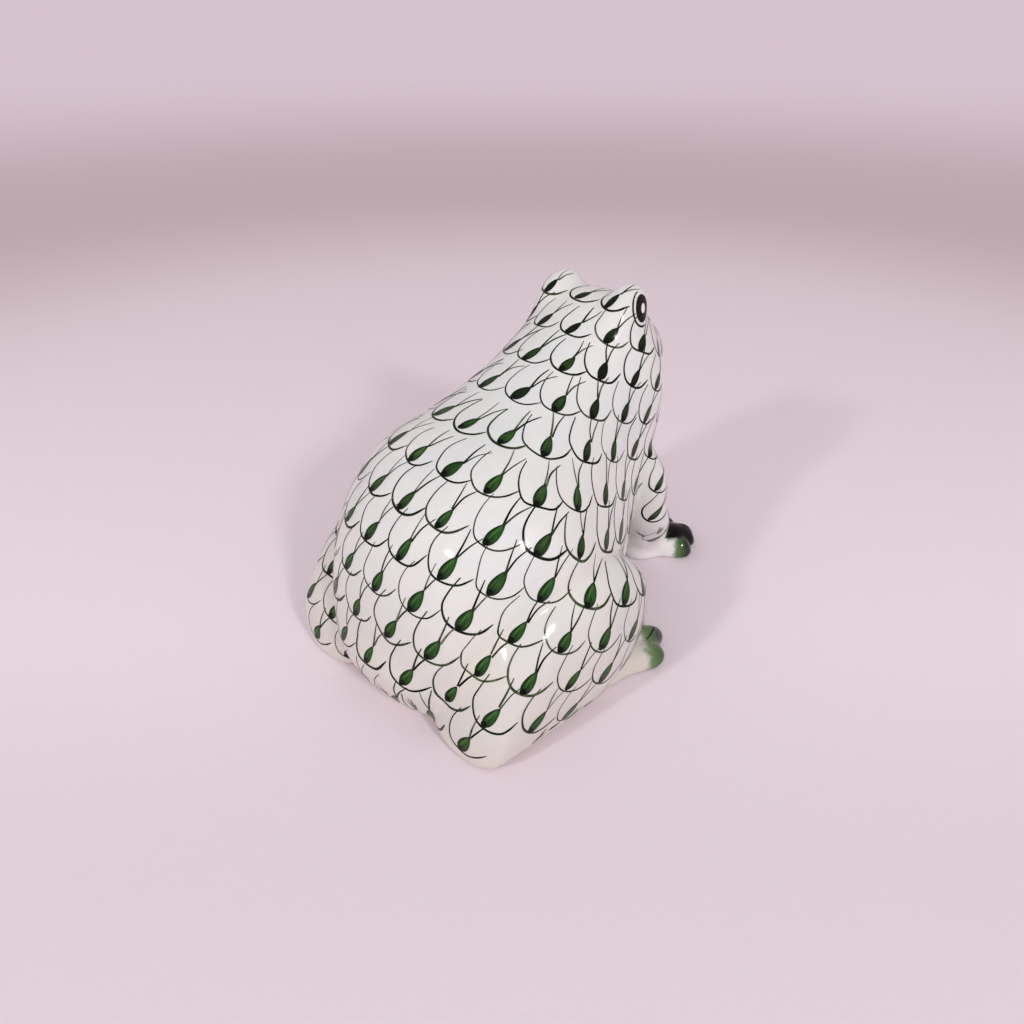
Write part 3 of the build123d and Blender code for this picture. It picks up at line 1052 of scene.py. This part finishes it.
def paint_scale(lines, leaves, blots, spot, step, descent):
    """An open curve, a green drop on it with a black blot at its foot, and two hair lines from its tip."""
    greenness = min(max(GREEN_GROWTH * descent + GREEN_START + dice.uniform(*GREEN_CHANCE), 0), 1)
    load = dice.uniform(*ARC_LOADS)
    arc = curve_through(by_hand(ARC_SHARES, step))
    lines.stroke(spot, arc, swelling(LINE_HALF_WIDTH * dice.uniform(*ARC_WIDTHS), *ARC_SWELLING), load)
    for shares in (LEFT_WHISKER_SHARES, RIGHT_WHISKER_SHARES):
        whisker = curve_through(by_hand(shares, step))
        width = fading(WHISKER_HALF_WIDTH * dice.uniform(*WHISKER_WIDTHS))
        lines.stroke(spot, whisker, width, dice.uniform(*WHISKER_LOADS))
    foot, tip = by_hand((DROP_FOOT_SHARES, DROP_TIP_SHARES), step)
    outline = drop_outline(step * DROP_HALF_WIDTH_SHARE * dice.uniform(*DROP_WIDTHS))
    leaves.leaf(spot, foot, tip, outline, greenness)
    start = (foot[0] + BLOT_START[0], foot[1] + BLOT_START[1])
    end = (start[0] + BLOT_REACH[0], start[1] + BLOT_REACH[1])
    blots.leaf(spot, start, end, oval_outline(BLOT_HALF_WIDTH), 1)


def paint_tuft(lines, spot, length):
    """Hair lines that fan out from one place."""
    for number in range(TUFT_STROKES):
        fan = TUFT_FAN_DEGREES * (number / (TUFT_STROKES - 1) - 0.5)
        lean = math.radians(fan + dice.uniform(*TUFT_TURNS))
        reach = length * dice.uniform(*TUFT_REACHES)
        start = (reach * TUFT_START_SHARE * math.sin(lean), dice.uniform(*TUFT_RISES) * length)
        bend = (reach * TUFT_BEND_SHARE * math.sin(lean), reach * TUFT_BEND_SHARE)
        end = (reach * TUFT_END_SHARE * math.sin(lean), reach * math.cos(lean) * TUFT_STRETCH)
        hair = curve_through([start, bend, end])
        width = fading(TUFT_HALF_WIDTH * dice.uniform(*TUFT_WIDTHS))
        lines.stroke(spot, hair, width, dice.uniform(*TUFT_LOADS))


def paint_creases(lines, leaves):
    """Tufts and slanted leaves where the mouldings meet, and a line between the toes of the hind feet."""
    for side in SIDES:
        for place, turn, length in TUFTS:
            paint_tuft(lines, skin.spot(on_side(place, side), -side * turn), length)
        toe_gap = skin.spot(on_side(TOE_GAP_PLACE, side), -side * TOE_TURN_DEGREES)
        gap_line = curve_through(TOE_GAP_LINE)
        lines.stroke(toe_gap, gap_line, swelling(LINE_HALF_WIDTH, *TOE_GAP_SWELLING), FULL_LOAD)
        for place, turn, length in SLANTED_LEAVES:
            spot = skin.spot(on_side(place, side), -side * turn)
            outline = drop_outline(length * SLANTED_LEAF_SHARE)
            leaves.leaf(spot, (0, 0), (0, length), outline, dice.uniform(*SLANTED_LEAF_GREENS))


def paint_pattern():
    """All scales, and what fills the creases."""
    lines = Paint("scale_lines", LIFT)
    leaves = Paint("leaf_drops", LEAF_LIFT)
    blots = Paint("black_blots", TOP_LIFT)
    for spot, step, descent in scale_spots():
        paint_scale(lines, leaves, blots, spot, step, descent)
    for place in SNOUT_SCALES:
        spot = skin.spot(place, rise=SNOUT_RISE)
        paint_scale(lines, leaves, blots, spot, SCALE_STEPS[0] * SNOUT_SHARE, 0)
    paint_creases(lines, leaves)
    lines.finished(ink_material())
    leaves.finished(leaf_material())
    blots.finished(plain_paint("blot_black", BLOT_BLACKS))


def ring_line(half_width, half_height, start, end):
    """Points on an oval between two angles, counted clockwise from its top."""
    angles = [math.radians(start + (end - start) * step / RING_STEPS) for step in range(RING_STEPS + 1)]
    return [(half_width * math.sin(angle), half_height * math.cos(angle)) for angle in angles]


def paint_eyes():
    """Black ovals with a white pupil and a dark lid line, one on each dome, and the nostrils."""
    black = Paint("eye_black", EYE_LIFT)
    white = Paint("eye_white", TOP_LIFT)
    lines = Paint("eye_lines", LIFT)
    for side in SIDES:
        eye = skin.spot(on_side(EYE_PLACE, side))
        black.leaf(eye, (0, -EYE_HALF_HEIGHT), (0, EYE_HALF_HEIGHT), oval_outline(EYE_HALF_WIDTH), 1)
        white.leaf(eye, (0, -PUPIL_HALF_HEIGHT), (0, PUPIL_HALF_HEIGHT), oval_outline(PUPIL_HALF_WIDTH), 1)
        angles = (side * LID_FROM_DEGREES, side * LID_TO_DEGREES)
        lid = ring_line(EYE_HALF_WIDTH + LID_GAP, EYE_HALF_HEIGHT + LID_GAP, *angles)
        lines.stroke(eye, lid, swelling(LID_HALF_WIDTH, *LID_SWELLING), FULL_LOAD)
        nostril = skin.spot(on_side(NOSTRIL_PLACE, side))
        foot, tip = (0, -NOSTRIL_HALF_HEIGHT), (side * NOSTRIL_LEAN, NOSTRIL_HALF_HEIGHT)
        lines.leaf(nostril, foot, tip, oval_outline(NOSTRIL_HALF_WIDTH), NOSTRIL_LOAD)
    black.finished(plain_paint("eye_black", EYE_BLACKS))
    white.finished(plain_paint("eye_white", EYE_WHITES))
    lines.finished(ink_material())


place_camera()
place_lamps()
paper_sweep()
skin_mesh = glazed_skin()
skin = Surface(skin_mesh)
skin_pieces(skin_mesh, porcelain_material())
paint_pattern()
paint_eyes()

bpy.context.scene.view_settings.view_transform = "Standard"
